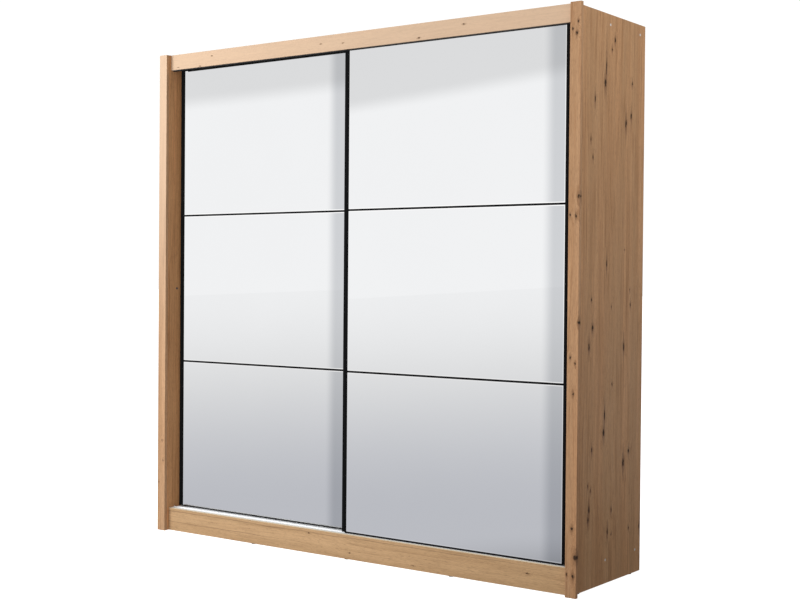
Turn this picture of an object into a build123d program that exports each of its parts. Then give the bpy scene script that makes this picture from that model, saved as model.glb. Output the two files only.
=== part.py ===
"""Sliding door wardrobe: an oak-decor carcass with two mirrored doors on a double track.

Frame: X to the right, Y from the front to the back, Z up, millimetres.
The origin is the bottom centre of the bounding box, on the floor.
"""
import os

from build123d import *

# ---- Overall size ---------------------------------------------------------------------------
WIDTH = 2150.0              # over the two front trims
HEIGHT = 2150.0             # floor to the top of the side panels
DEPTH = 580.0               # front of the trims to the back of the side panels

# ---- Carcass boards -------------------------------------------------------------------------
BOARD = 18.0                # sides, top, bottom, partition and shelves
TRIM_OVERHANG = 30.0        # how far each front trim stands out past its side panel
TRIM_WIDTH = 45.0           # the trims stop a little short of the side panels' inner faces
TRIM_THICKNESS = 16.0
FACING_THICKNESS = 16.0     # fascia and plinth boards
FACING_SETBACK = 24.0       # front of the trims to the front of the fascia and plinth
FASCIA_HEIGHT = 68.0
PLINTH_TOP = 102.0          # floor to the plinth's upper edge
PLINTH_RISE = 2.0           # the plinth's upper edge stands this high over the bottom panel
FLOOR_GAP = 2.0             # side panels and plinths stand this high, on glides
TOP_RECESS = 30.0           # side panels rise this far above the top panel
BACK_THICKNESS = 3.0
BACK_REBATE = 9.0           # how far each back panel laps onto its side panel
BACK_JOINT_GAP = 1.0        # between the two back panels, behind the partition
REAR_PLINTH_SETBACK = 30.0
EDGE_RADIUS = 1.0           # edge banding of the visible boards

# ---- Interior -------------------------------------------------------------------------------
INTERIOR_GAP = 4.0          # rear door to the partition's front edge
SHELF_SETBACK = 12.0        # partition's front edge to the shelves' front edges
SHELF_SIDE_GAP = 1.0
SHELF_REAR_GAP = 2.0
HAT_SPACE = 330.0           # clear height between the hat shelves and the top panel
LOWER_SHELVES = 2           # in the left bay, below its hat shelf
PIN_RADIUS = 2.5
PIN_DEPTH = 8.0             # in the panel, and the same out of it
PIN_INSET = 60.0            # shelf's front and rear edges to its pins
RAIL_HEIGHT = 30.0
RAIL_THICKNESS = 15.0
RAIL_WALL = 1.2
RAIL_DROP = 70.0            # hat shelf's underside to the hanging rail's centre
SOCKET_WALL = 2.0
SOCKET_REACH = 12.0
SOCKET_PLATE = 3.0

# ---- Fasteners ------------------------------------------------------------------------------
SCREW_RADIUS = 3.4          # carcass screws, shank
SCREW_HEAD_RADIUS = 5.0
SCREW_HEAD_HEIGHT = 3.0
SCREW_LENGTH = 50.0
SCREW_DEPTHS = (285.0, 535.0)   # front of the trims to each carcass screw
CAP_RADIUS = 5.0
CAP_THICKNESS = 0.8
DOWEL_RADIUS = 4.0
DOWEL_LENGTH = 28.0         # a third of it in the trim
TRIM_DOWELS = 5
SMALL_SCREW_RADIUS = 1.75
SMALL_HEAD_RADIUS = 3.5
SMALL_HEAD_HEIGHT = 1.4
SMALL_SCREW_LENGTH = 14.0
ANGLE_LEG = 22.0
ANGLE_WIDTH = 18.0
ANGLE_THICKNESS = 2.0
ANGLE_SCREW_SHARE = 0.6     # corner of an angle to its screws, as a share of its leg
ANGLES_PER_FACING = 3
ANGLE_SIDESTEP = 54.0       # moves the angles aside, clear of the partition's screws
WALL_BRACKET_LEG = 26.0
WALL_BRACKET_WIDTH = 40.0
WALL_BRACKET_SPACING = 1400.0
WALL_HOLE_RADIUS = 2.75
NAIL_RADIUS = 0.8
NAIL_HEAD_RADIUS = 2.4
NAIL_HEAD_HEIGHT = 0.8
NAIL_LENGTH = 20.0
NAILS_UP = 7                # along each upright edge of a back panel
NAILS_ACROSS = 4            # along its top and bottom edges
GLIDE_RADIUS = 10.0
GLIDE_INSET = 80.0          # front of the trims, and back, to the side panels' glides
GLIDE_STEM_RADIUS = 2.0
GLIDE_STEM_LENGTH = 9.0

# ---- Doors ----------------------------------------------------------------------------------
DOOR_EDGE_GAP = 2.0         # closed door to the side panel
DOOR_OVERLAP = 50.0         # one closed door over the other
RIGHT_DOOR_AJAR = 12.0      # the right door stands this far short of its closed stop
DOOR_FRONT_GAP = 2.2        # fascia's rear face to the front door
DOOR_PASSING_GAP = 11.0     # front door's rear to the rear door's front
PROFILE_WIDTH = 21.0        # handle profile, chamber and lip together
PROFILE_DEPTH = 34.0
PROFILE_CHAMBER = 14.0      # width of the profile's hollow chamber
PROFILE_WALL = 1.6
PROFILE_CORNER = 1.5
LIP_STEP = 1.2              # profile's front face to its lip's front face
GRIP_RADIUS = 6.5
GRIP_DEPTH = 2.4            # finger groove in the profile's front face
DOOR_BOARD = 16.0
MIRROR_THICKNESS = 4.0
MIRRORS_PER_DOOR = 3
DIVIDER_HEIGHT = 8.0
DIVIDER_PROUD = 0.6
RAIL_LIP = 3.0              # door rail showing above and below the mirrors
RAIL_BASE = 1.6
RAIL_BACK_HEIGHT = 16.0

# ---- Tracks, rollers and guides -------------------------------------------------------------
TRACK_BASE = 2.0
TRACK_FRONT_GAP = 0.2       # fascia's and plinth's rear faces to the tracks
TRACK_MARGIN = 3.0          # track beyond the rear door
TRACK_SCREWS = 4            # in each track
BEAD_WIDTH = 3.0
BEAD_HEIGHT = 4.0
FIN_HEIGHT = 9.0
FIN_THICKNESS = 1.5
DOOR_BOTTOM_GAP = 5.0       # bottom track's base to the door
DOOR_LIFT_GAP = 2.0         # door to the top track's fins
CHANNEL_WIDTH = 14.0        # inside each of the top track's two channels
GUIDE_CLEARANCE = 0.4       # guide tongue to a fin, each side
GUIDE_TOP_GAP = 2.5
GUIDE_LENGTH = 40.0
GUIDE_HEIGHT = 22.0
GUIDE_RADIUS = 1.5          # rounded top edges of the guide's tongue
CARRIER_LENGTH = 60.0
CARRIER_HEIGHT = 38.0
CARRIER_INSET = 74.0        # door's edge to each roller's axis
CARRIER_FLANGE = 10.0       # rear flange beyond the carrier, each side
CARRIER_FLANGE_THICKNESS = 1.5
CARRIER_SCREW_SHARE = 0.8   # of the door board's thickness
WHEEL_RADIUS = 14.0
WHEEL_GROOVE_DEPTH = 2.0
WHEEL_GROOVE_FLARE = 0.5    # how much wider the groove is at its mouth, each side
WHEEL_WIDTH = 7.0
WHEEL_SIDE_GAP = 0.6
WHEEL_TRACK_GAP = 0.3       # wheel's groove to the bead
AXLE_RADIUS = 2.5
AXLE_CLEARANCE = 0.05
NOTCH_GAP = 0.5             # around the parts let into the door board
BRUSH_WIDTH = 5.0
BRUSH_SEAT = 0.8
BRUSH_PROUD = 1.5
REAR_BRUSH_LENGTH = 9.5
BUFFER_RADIUS = 5.0
BUFFER_THICKNESS = 1.6
BUFFER_SEAT_DEPTH = 25.0    # door's front face to the buffer's centre

# ---- Places worked out from the sizes above -------------------------------------------------
half_width = WIDTH / 2
front = -DEPTH / 2
back = DEPTH / 2
side_outer = half_width - TRIM_OVERHANG
side_inner = side_outer - BOARD
facing_rear = front + FACING_SETBACK + FACING_THICKNESS
back_panel_front = back - BACK_THICKNESS

floor_over = PLINTH_TOP - PLINTH_RISE       # upper face of the bottom panel
floor_under = floor_over - BOARD            # its underside
top_over = HEIGHT - TOP_RECESS              # upper face of the top panel
top_under = top_over - BOARD

door_width = side_inner - DOOR_EDGE_GAP + DOOR_OVERLAP / 2
door_bottom = floor_over + TRACK_BASE + DOOR_BOTTOM_GAP
door_top = top_under - TRACK_BASE - FIN_HEIGHT - DOOR_LIFT_GAP
mirror_bottom = door_bottom + RAIL_LIP
mirror_top = door_top - RAIL_LIP
mirror_height = (mirror_top - mirror_bottom + DIVIDER_HEIGHT) / MIRRORS_PER_DOOR - DIVIDER_HEIGHT
lip_rear = LIP_STEP + PROFILE_WALL          # mirror's front face, from the door's front
board_front = lip_rear + MIRROR_THICKNESS
board_rear = board_front + DOOR_BOARD
board_middle = board_front + DOOR_BOARD / 2

door_pitch = PROFILE_DEPTH + DOOR_PASSING_GAP
door_fronts = {
    "right": facing_rear + DOOR_FRONT_GAP,
    "left": facing_rear + DOOR_FRONT_GAP + door_pitch,
}
track_front = facing_rear + TRACK_FRONT_GAP
track_rear = door_fronts["left"] + PROFILE_DEPTH + TRACK_MARGIN
interior_front = door_fronts["left"] + PROFILE_DEPTH + INTERIOR_GAP
shelf_front = interior_front + SHELF_SETBACK
shelf_rear = back_panel_front - SHELF_REAR_GAP

wheel_rolling_radius = WHEEL_RADIUS - WHEEL_GROOVE_DEPTH
wheel_z = floor_over + TRACK_BASE + BEAD_HEIGHT + WHEEL_TRACK_GAP + wheel_rolling_radius

hat_shelf_z = top_under - HAT_SPACE - BOARD  # underside of both hat shelves
rail_z = hat_shelf_z - RAIL_DROP
rail_y = (shelf_front + shelf_rear) / 2
shelf_pitch = (hat_shelf_z - floor_over + BOARD) / (LOWER_SHELVES + 1)
lower_shelf_zs = [floor_under + shelf_pitch * (i + 1) for i in range(LOWER_SHELVES)]
pin_ys = (shelf_front + PIN_INSET, shelf_rear - PIN_INSET)
screw_ys = [front + depth for depth in SCREW_DEPTHS]
left_bay = (-side_inner, -BOARD / 2)
right_bay = (BOARD / 2, side_inner)


# ---- Shapes ---------------------------------------------------------------------------------
def block(x0, x1, y0, y1, z0, z1):
    """A box between two corners."""
    middle = ((x0 + x1) / 2, (y0 + y1) / 2, (z0 + z1) / 2)
    return Pos(*middle) * Box(x1 - x0, y1 - y0, z1 - z0)


def banded(solid):
    """Round every edge of a board by the radius of its edge banding."""
    return fillet(solid.edges(), EDGE_RADIUS)


def rod(centre, direction, radius, length):
    """A cylinder that starts at a point and runs along a direction."""
    plane = Plane(origin=centre, z_dir=direction)
    return plane * Cylinder(radius, length, align=(Align.CENTER, Align.CENTER, Align.MIN))


def screw(centre, direction, shank, head, head_height, length):
    """A countersunk screw: centre is the middle of its flush head, direction is its driving way."""
    plane = Plane(origin=centre, z_dir=direction)
    outline = Polyline((0, 0), (head, 0), (shank, head_height), (shank, length - shank),
                       (0, length), (0, 0))
    return plane * revolve(Plane.XZ * make_face(outline), Axis.Z)


def carcass_screw(centre, direction):
    """One of the screws that join the carcass boards."""
    return screw(centre, direction, SCREW_RADIUS, SCREW_HEAD_RADIUS, SCREW_HEAD_HEIGHT, SCREW_LENGTH)


def small_screw(centre, direction):
    """One of the screws that hold the brackets, tracks and sockets."""
    return screw(centre, direction, SMALL_SCREW_RADIUS, SMALL_HEAD_RADIUS, SMALL_HEAD_HEIGHT,
                 SMALL_SCREW_LENGTH)


def spread(count, start, end):
    """Evenly spaced places, each in the middle of its own share of a length."""
    step = (end - start) / count
    return [start + step * (i + 0.5) for i in range(count)]


def drilled(solid, cutters):
    """The solid with every cutter taken out of it."""
    for cutter in cutters:
        solid = solid - cutter
    return solid


def save(name, shape):
    """Write one sub-part, as a single solid or as a group of separate solids."""
    if isinstance(shape, (list, tuple)):
        shape = Compound(children=list(shape))
    export_step(shape, os.path.join("parts", name + ".step"))


# ---- Fastener positions ---------------------------------------------------------------------
def side_screws(sign):
    """Screws through one side panel into the ends of the top and bottom panels."""
    seat = side_outer - CAP_THICKNESS
    heights = ((top_over + top_under) / 2, (floor_over + floor_under) / 2)
    return [carcass_screw((sign * seat, y, z), (-sign, 0, 0)) for z in heights for y in screw_ys]


def partition_screws():
    """Screws through the top and bottom panels into the partition's ends."""
    down = [carcass_screw((0, y, top_over), (0, 0, -1)) for y in screw_ys]
    up = [carcass_screw((0, y, floor_under), (0, 0, 1)) for y in screw_ys]
    return down + up


def side_caps(sign):
    """Covers over the screws in one side panel."""
    heights = ((top_over + top_under) / 2, (floor_over + floor_under) / 2)
    return [rod((sign * side_outer, y, z), (-sign, 0, 0), CAP_RADIUS, CAP_THICKNESS)
            for z in heights for y in screw_ys]


def trim_dowels(sign):
    """Dowels between one front trim and its side panel's front edge."""
    x = sign * (side_inner + BOARD / 2)
    start = front + TRIM_THICKNESS - DOWEL_LENGTH / 3
    return [rod((x, start, z), (0, 1, 0), DOWEL_RADIUS, DOWEL_LENGTH)
            for z in spread(TRIM_DOWELS, FLOOR_GAP, HEIGHT)]


def bay_pins(bay, zs):
    """Four pins under each shelf of a bay."""
    starts = [edge - PIN_DEPTH for edge in bay]
    return [rod((x, y, z - PIN_RADIUS), (1, 0, 0), PIN_RADIUS, 2 * PIN_DEPTH)
            for z in zs for y in pin_ys for x in starts]


left_pins = bay_pins(left_bay, lower_shelf_zs + [hat_shelf_z])
right_pins = bay_pins(right_bay, [hat_shelf_z])


def nail(x, z):
    """A flush nail through a back panel."""
    return screw((x, back, z), (0, -1, 0), NAIL_RADIUS, NAIL_HEAD_RADIUS, NAIL_HEAD_HEIGHT, NAIL_LENGTH)


def back_nails(sign):
    """The nails around one back panel, into the boards behind its edges."""
    uprights = (sign * (side_inner + BACK_REBATE / 2), sign * (BOARD + BACK_JOINT_GAP) / 4)
    rows = ((top_over + top_under) / 2, (floor_over + floor_under) / 2)
    nails = [nail(x, z) for x in uprights for z in spread(NAILS_UP, floor_over, top_under)]
    return nails + [nail(x, z) for z in rows for x in spread(NAILS_ACROSS, 0, sign * side_inner)]


def glide_places():
    """Where the side panels and the plinths stand on the floor."""
    x_side = side_inner + BOARD / 2
    plinth_y = facing_rear - FACING_THICKNESS / 2
    rear_y = back - REAR_PLINTH_SETBACK - FACING_THICKNESS / 2
    side_ys = (front + GLIDE_INSET, back - GLIDE_INSET)
    sides = [(sign * x_side, y) for sign in (-1, 1) for y in side_ys]
    plinths = [(x, y) for x in (-side_inner / 2, 0, side_inner / 2) for y in (plinth_y, rear_y)]
    return sides + plinths


def glide_stems(places):
    """The pins of the glides, which are also their holes."""
    return [rod((x, y, FLOOR_GAP), (0, 0, 1), GLIDE_STEM_RADIUS, GLIDE_STEM_LENGTH) for x, y in places]


def track_screw_xs():
    """Screw places along the two tracks."""
    return spread(TRACK_SCREWS, -side_inner, side_inner)


track_middle = (door_fronts["right"] + door_fronts["left"]) / 2 + board_middle


def track_screws():
    """Screws that hold the two tracks to the top and bottom panels."""
    low_z, high_z = floor_over + TRACK_BASE, top_under - TRACK_BASE
    low = [small_screw((x, track_middle, low_z), (0, 0, -1)) for x in track_screw_xs()]
    high = [small_screw((x, track_middle, high_z), (0, 0, 1)) for x in track_screw_xs()]
    return low, high


# ---- Angle brackets -------------------------------------------------------------------------
def angle(x, corner_y, corner_z, upright, away):
    """A steel angle in a corner: upright is +1 or -1 along Z, away is +1 or -1 along Y."""
    ys = sorted((corner_y, corner_y + away * ANGLE_LEG))
    thin_ys = sorted((corner_y, corner_y + away * ANGLE_THICKNESS))
    zs = sorted((corner_z, corner_z + upright * ANGLE_LEG))
    thin_zs = sorted((corner_z, corner_z + upright * ANGLE_THICKNESS))
    x0, x1 = x - ANGLE_WIDTH / 2, x + ANGLE_WIDTH / 2
    shape = block(x0, x1, *ys, *thin_zs) + block(x0, x1, *thin_ys, *zs)
    along = ANGLE_LEG * ANGLE_SCREW_SHARE
    lie_head = (x, corner_y + away * along, corner_z + upright * ANGLE_THICKNESS)
    stand_head = (x, corner_y + away * ANGLE_THICKNESS, corner_z + upright * along)
    screws = [small_screw(lie_head, (0, 0, -upright)), small_screw(stand_head, (0, -away, 0))]
    return drilled(shape, screws), screws


def facing_angles():
    """The angles behind the fascia and both plinths, clear of the partition's screws."""
    corners = [
        (facing_rear, top_over, 1, 1),
        (facing_rear, floor_under, -1, 1),
        (back - REAR_PLINTH_SETBACK - FACING_THICKNESS, floor_under, -1, -1),
    ]
    shapes, screws = [], []
    for corner_y, corner_z, upright, away in corners:
        for x in spread(ANGLES_PER_FACING, -side_inner, side_inner):
            shape, pair = angle(x + ANGLE_SIDESTEP, corner_y, corner_z, upright, away)
            shapes.append(shape)
            screws += pair
    return shapes, screws


def wall_brackets():
    """Two angles that fasten the top panel to the wall behind the wardrobe."""
    shapes, screws = [], []
    screw_y = back - WALL_BRACKET_LEG * ANGLE_SCREW_SHARE
    hole_z = top_over + WALL_BRACKET_LEG * ANGLE_SCREW_SHARE
    for x in (-WALL_BRACKET_SPACING / 2, WALL_BRACKET_SPACING / 2):
        x0, x1 = x - WALL_BRACKET_WIDTH / 2, x + WALL_BRACKET_WIDTH / 2
        lie = block(x0, x1, back - WALL_BRACKET_LEG, back, top_over, top_over + ANGLE_THICKNESS)
        stand = block(x0, x1, back - ANGLE_THICKNESS, back, top_over, top_over + WALL_BRACKET_LEG)
        hole = rod((x, back - 2 * ANGLE_THICKNESS, hole_z), (0, 1, 0), WALL_HOLE_RADIUS,
                   3 * ANGLE_THICKNESS)
        pair = [small_screw((beside, screw_y, top_over + ANGLE_THICKNESS), (0, 0, -1))
                for beside in (x - WALL_BRACKET_WIDTH / 4, x + WALL_BRACKET_WIDTH / 4)]
        shapes.append(drilled(lie + stand, pair + [hole]))
        screws += pair
    return shapes, screws


angles, angle_screws = facing_angles()
brackets, bracket_screws = wall_brackets()
low_track_screws, high_track_screws = track_screws()
stems = glide_stems(glide_places())


# ---- Carcass --------------------------------------------------------------------------------
def side_panel(sign, fittings):
    """One side panel, rebated for its back panel and drilled for what is fixed to it."""
    xs = sorted((sign * side_inner, sign * side_outer))
    panel = banded(block(*xs, front + TRIM_THICKNESS, back, FLOOR_GAP, HEIGHT))
    lap = sorted((sign * (side_inner - EDGE_RADIUS), sign * (side_inner + BACK_REBATE)))
    rebate = block(*lap, back_panel_front, back + EDGE_RADIUS, floor_under, top_over)
    cutters = side_screws(sign) + side_caps(sign) + trim_dowels(sign) + back_nails(sign)
    return drilled(panel, cutters + fittings + stems + [rebate])


def front_trim(sign):
    """The upright board on a side panel's front edge, which stands out past the panel."""
    xs = sorted((sign * (half_width - TRIM_WIDTH), sign * half_width))
    trim = banded(block(*xs, front, front + TRIM_THICKNESS, 0, HEIGHT))
    return drilled(trim, trim_dowels(sign))


def crossboard(z0, cutters):
    """The top or bottom panel, between the side panels."""
    panel = block(-side_inner, side_inner, facing_rear, back_panel_front, z0, z0 + BOARD)
    return drilled(panel, cutters)


def facing(z0, z1):
    """The fascia or the plinth, between the side panels."""
    ys = (facing_rear - FACING_THICKNESS, facing_rear)
    return banded(block(-side_inner, side_inner, *ys, z0, z1))


def rear_plinth():
    """The board that carries the back of the bottom panel."""
    y1 = back - REAR_PLINTH_SETBACK
    board = block(-side_inner, side_inner, y1 - FACING_THICKNESS, y1, FLOOR_GAP, floor_under)
    return drilled(board, stems + angle_screws)


def partition():
    """The upright board between the two bays, drilled for screws and shelf pins."""
    board = block(-BOARD / 2, BOARD / 2, interior_front, back_panel_front, floor_over, top_under)
    nails = back_nails(-1) + back_nails(1)
    return drilled(board, partition_screws() + left_pins + right_pins + socket_screws + nails)


def back_panel(sign):
    """One of the two thin back panels, nailed around its edges."""
    xs = sorted((sign * BACK_JOINT_GAP / 2, sign * (side_inner + BACK_REBATE)))
    panel = block(*xs, back_panel_front, back, floor_under, top_over)
    return drilled(panel, back_nails(sign))


def shelf(bay, z):
    """A shelf that lies on four pins."""
    x0, x1 = bay[0] + SHELF_SIDE_GAP, bay[1] - SHELF_SIDE_GAP
    return banded(block(x0, x1, shelf_front, shelf_rear, z, z + BOARD))


# ---- Hanging rail ---------------------------------------------------------------------------
def oval(thickness, height):
    """An upright oval in the YZ plane, centred on the hanging rail."""
    return Plane.YZ * SlotOverall(height, thickness, rotation=90)


def hanging_rail():
    """The oval tube that hangers hook over."""
    start = right_bay[0] + SOCKET_PLATE
    length = right_bay[1] - right_bay[0] - 2 * SOCKET_PLATE
    outer = extrude(oval(RAIL_THICKNESS, RAIL_HEIGHT), length)
    inner = extrude(oval(RAIL_THICKNESS - 2 * RAIL_WALL, RAIL_HEIGHT - 2 * RAIL_WALL), length)
    return Pos(start, rail_y, rail_z) * (outer - inner)


def rail_socket(sign):
    """The cup that carries one end of the hanging rail; sign is the way the rail leaves it."""
    grown = 2 * SOCKET_WALL
    plate = extrude(oval(RAIL_THICKNESS + 3 * grown, RAIL_HEIGHT + 5 * grown), SOCKET_PLATE)
    cup = extrude(oval(RAIL_THICKNESS + grown, RAIL_HEIGHT + grown), SOCKET_PLATE + SOCKET_REACH)
    bore = extrude(oval(RAIL_THICKNESS, RAIL_HEIGHT), SOCKET_PLATE + SOCKET_REACH)
    bore = Pos(SOCKET_PLATE, 0, 0) * bore
    shape = plate + cup - bore
    if sign < 0:
        shape = mirror(shape, Plane.YZ)
    x = right_bay[0] if sign > 0 else right_bay[1]
    return drilled(Pos(x, rail_y, rail_z) * shape, socket_screws)


def make_socket_screws():
    """One screw above and one below each end of the hanging rail."""
    drop = RAIL_HEIGHT / 2 + 3 * SOCKET_WALL
    screws = []
    for x, sign in ((right_bay[0], 1), (right_bay[1], -1)):
        for z in (rail_z - drop, rail_z + drop):
            screws.append(small_screw((x + sign * SOCKET_PLATE, rail_y, z), (-sign, 0, 0)))
    return screws


socket_screws = make_socket_screws()


# ---- Tracks ---------------------------------------------------------------------------------
def bottom_track():
    """The double bottom track: a base with one rounded bead under each door."""
    z = floor_over + TRACK_BASE
    track = block(-side_inner, side_inner, track_front, track_rear, floor_over, z)
    for door_front in door_fronts.values():
        y = door_front + board_middle
        stem = block(-side_inner, side_inner, y - BEAD_WIDTH / 2, y + BEAD_WIDTH / 2,
                     z, z + BEAD_HEIGHT - BEAD_WIDTH / 2)
        crown = rod((-side_inner, y, z + BEAD_HEIGHT - BEAD_WIDTH / 2), (1, 0, 0), BEAD_WIDTH / 2,
                    2 * side_inner)
        track = track + stem + crown
    return drilled(track, low_track_screws)


def top_track():
    """The double top track: a base with two channels that face down."""
    z1 = top_under - TRACK_BASE
    track = block(-side_inner, side_inner, track_front, track_rear, z1, top_under)
    reach = CHANNEL_WIDTH / 2 + FIN_THICKNESS
    for door_front in door_fronts.values():
        y = door_front + board_middle
        for edge in (y - reach, y + CHANNEL_WIDTH / 2):
            fin = block(-side_inner, side_inner, edge, edge + FIN_THICKNESS, z1 - FIN_HEIGHT, z1)
            track = track + fin
    return drilled(track, high_track_screws)


def end_buffers():
    """Rubber pads on the side panels, where the doors arrive."""
    z = (door_bottom + door_top) / 2
    pads = []
    for sign in (-1, 1):
        for door_front in door_fronts.values():
            pads.append(rod((sign * side_inner, door_front + BUFFER_SEAT_DEPTH, z), (-sign, 0, 0),
                            BUFFER_RADIUS, BUFFER_THICKNESS))
    return pads


# ---- Doors: each is built with its front at y = 0 and its centre at x = 0 --------------------
half_door = door_width / 2
chamber_inner = half_door - PROFILE_CHAMBER     # where the door board ends
lip_inner = half_door - PROFILE_WIDTH           # where the mirrors start to show
carrier_xs = (-half_door + CARRIER_INSET, half_door - CARRIER_INSET)


def handle_profile(sign):
    """The extruded profile along one upright edge of a door."""
    from_corner = (Align.MIN, Align.MIN)
    chamber = Rectangle(PROFILE_CHAMBER, PROFILE_DEPTH, align=from_corner)
    outer_corners = chamber.vertices().group_by(Axis.X)[0]
    chamber = fillet(outer_corners, PROFILE_CORNER)
    hollow_size = (PROFILE_CHAMBER - 2 * PROFILE_WALL, PROFILE_DEPTH - 2 * PROFILE_WALL)
    hollow = Pos(PROFILE_WALL, PROFILE_WALL) * Rectangle(*hollow_size, align=from_corner)
    grip = Pos(PROFILE_CHAMBER / 2, GRIP_DEPTH - GRIP_RADIUS)
    chamber = chamber - grip * Circle(GRIP_RADIUS)
    hollow = hollow - grip * Circle(GRIP_RADIUS + PROFILE_WALL)
    lip = Rectangle(PROFILE_WIDTH - PROFILE_CHAMBER, PROFILE_WALL, align=from_corner)
    front_lip = Pos(PROFILE_CHAMBER, LIP_STEP) * lip
    rear_lip = Pos(PROFILE_CHAMBER, board_rear) * lip
    seat = Pos(0, board_middle) * Rectangle(2 * BRUSH_SEAT, BRUSH_WIDTH)
    section = chamber - hollow + front_lip + rear_lip - seat
    profile = extrude(section, door_top - door_bottom)
    profile = Pos(-half_door, 0, door_bottom) * profile
    return mirror(profile, Plane.YZ) if sign > 0 else profile


def brush_seals(is_front_door):
    """Pile strips in the outer edges of the handle profiles, and between the doors."""
    y0, y1 = board_middle - BRUSH_WIDTH / 2, board_middle + BRUSH_WIDTH / 2
    strips = []
    for sign in (-1, 1):
        xs = sorted((sign * (half_door - BRUSH_SEAT), sign * (half_door + BRUSH_PROUD)))
        strips.append(block(*xs, y0, y1, door_bottom, door_top))
    if is_front_door:
        x0 = -half_door + PROFILE_CHAMBER / 2 - BRUSH_WIDTH / 2
        strips.append(block(x0, x0 + BRUSH_WIDTH, PROFILE_DEPTH, PROFILE_DEPTH + REAR_BRUSH_LENGTH,
                            door_bottom, door_top))
    return strips


def carrier_blocks(grow):
    """The two boxes of the roller carriers, grown for the notches they sit in."""
    bottom = door_bottom + RAIL_BASE
    half = CARRIER_LENGTH / 2 + grow
    return [block(x - half, x + half, board_front + NOTCH_GAP - grow, board_rear,
                  bottom, bottom + CARRIER_HEIGHT + grow) for x in carrier_xs]


def guide_blocks(grow):
    """The two boxes of the top guides, grown for the notches they sit in."""
    top = door_top - RAIL_BASE
    half = GUIDE_LENGTH / 2 + grow
    return [block(x - half, x + half, board_front + NOTCH_GAP - grow, board_rear - NOTCH_GAP + grow,
                  top - GUIDE_HEIGHT - grow, top) for x in carrier_xs]


def carrier_screws():
    """Two screws through each carrier's rear flange into the door board."""
    z = door_bottom + RAIL_BACK_HEIGHT + (RAIL_BASE + CARRIER_HEIGHT - RAIL_BACK_HEIGHT) / 2
    reach = CARRIER_LENGTH / 2 + CARRIER_FLANGE / 2
    y = board_rear + CARRIER_FLANGE_THICKNESS
    length = CARRIER_SCREW_SHARE * DOOR_BOARD
    return [screw((x + side * reach, y, z), (0, -1, 0), SMALL_SCREW_RADIUS, SMALL_HEAD_RADIUS,
                  SMALL_HEAD_HEIGHT, length)
            for x in carrier_xs for side in (-1, 1)]


def door_board():
    """The door's core, notched for its roller carriers and top guides."""
    board = block(-chamber_inner, chamber_inner, board_front, board_rear,
                  door_bottom + RAIL_BASE, door_top - RAIL_BASE)
    return drilled(board, carrier_blocks(NOTCH_GAP) + guide_blocks(NOTCH_GAP) + carrier_screws())


def door_rail(is_top):
    """The channel over the door board's top or bottom edge; its front wall carries the mirrors."""
    outer = door_top if is_top else door_bottom
    inward = -1 if is_top else 1
    base_zs = sorted((outer, outer + inward * RAIL_BASE))
    wall_zs = sorted((outer, outer + inward * RAIL_LIP))
    back_zs = sorted((outer, outer + inward * RAIL_BACK_HEIGHT))
    rear = board_rear + RAIL_BASE
    base = block(-chamber_inner, chamber_inner, lip_rear, board_rear, *base_zs)
    wall = block(-chamber_inner, chamber_inner, lip_rear, board_front, *wall_zs)
    base_back = block(-lip_inner, lip_inner, lip_rear, rear, *base_zs)
    upstand = block(-lip_inner, lip_inner, board_rear, rear, *back_zs)
    return base + wall + base_back + upstand


def bottom_rail():
    """The bottom rail, slotted for the rollers."""
    half_slot = WHEEL_RADIUS + 2 * NOTCH_GAP
    reach = WHEEL_WIDTH / 2 + WHEEL_SIDE_GAP
    slots = [block(x - half_slot, x + half_slot, board_middle - reach, board_middle + reach,
                   door_bottom - RAIL_BASE, door_bottom + 2 * RAIL_BASE) for x in carrier_xs]
    return drilled(door_rail(False), slots)


def top_rail():
    """The top rail, slotted for the guides' tongues."""
    reach = CHANNEL_WIDTH / 2
    half_slot = GUIDE_LENGTH / 2 + NOTCH_GAP
    slots = [block(x - half_slot, x + half_slot, board_middle - reach, board_middle + reach,
                   door_top - 2 * RAIL_BASE, door_top + RAIL_BASE) for x in carrier_xs]
    return drilled(door_rail(True), slots)


def mirror_pane(index):
    """One of the mirrors, counted from the bottom."""
    z0 = mirror_bottom + index * (mirror_height + DIVIDER_HEIGHT)
    return block(-chamber_inner, chamber_inner, lip_rear, board_front, z0, z0 + mirror_height)


def divider_strips():
    """The strips between the mirrors; they stand a little proud between the profiles' lips."""
    strips = []
    for index in range(1, MIRRORS_PER_DOOR):
        z0 = mirror_bottom + index * (mirror_height + DIVIDER_HEIGHT) - DIVIDER_HEIGHT
        z1 = z0 + DIVIDER_HEIGHT
        core = block(-chamber_inner, chamber_inner, lip_rear, board_front, z0, z1)
        crown = block(-lip_inner, lip_inner, lip_rear - DIVIDER_PROUD, lip_rear, z0, z1)
        strips.append(core + crown)
    return strips


def roller_carriers():
    """The two housings that hold the bottom rollers, each with a flange on the board's rear."""
    carriers = []
    flange_zs = (door_bottom + RAIL_BACK_HEIGHT, door_bottom + RAIL_BASE + CARRIER_HEIGHT)
    flange_ys = (board_rear, board_rear + CARRIER_FLANGE_THICKNESS)
    half_flange = CARRIER_LENGTH / 2 + CARRIER_FLANGE
    room = WHEEL_RADIUS + 2 * NOTCH_GAP
    reach = WHEEL_WIDTH / 2 + WHEEL_SIDE_GAP
    for x, housing in zip(carrier_xs, carrier_blocks(0)):
        flange = block(x - half_flange, x + half_flange, *flange_ys, *flange_zs)
        well = block(x - room, x + room, board_middle - reach, board_middle + reach,
                     door_bottom, wheel_z + room)
        hole = rod((x, board_front, wheel_z), (0, 1, 0), AXLE_RADIUS, DOOR_BOARD)
        carriers.append(drilled(housing + flange, [well, hole] + carrier_screws()))
    return carriers


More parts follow.
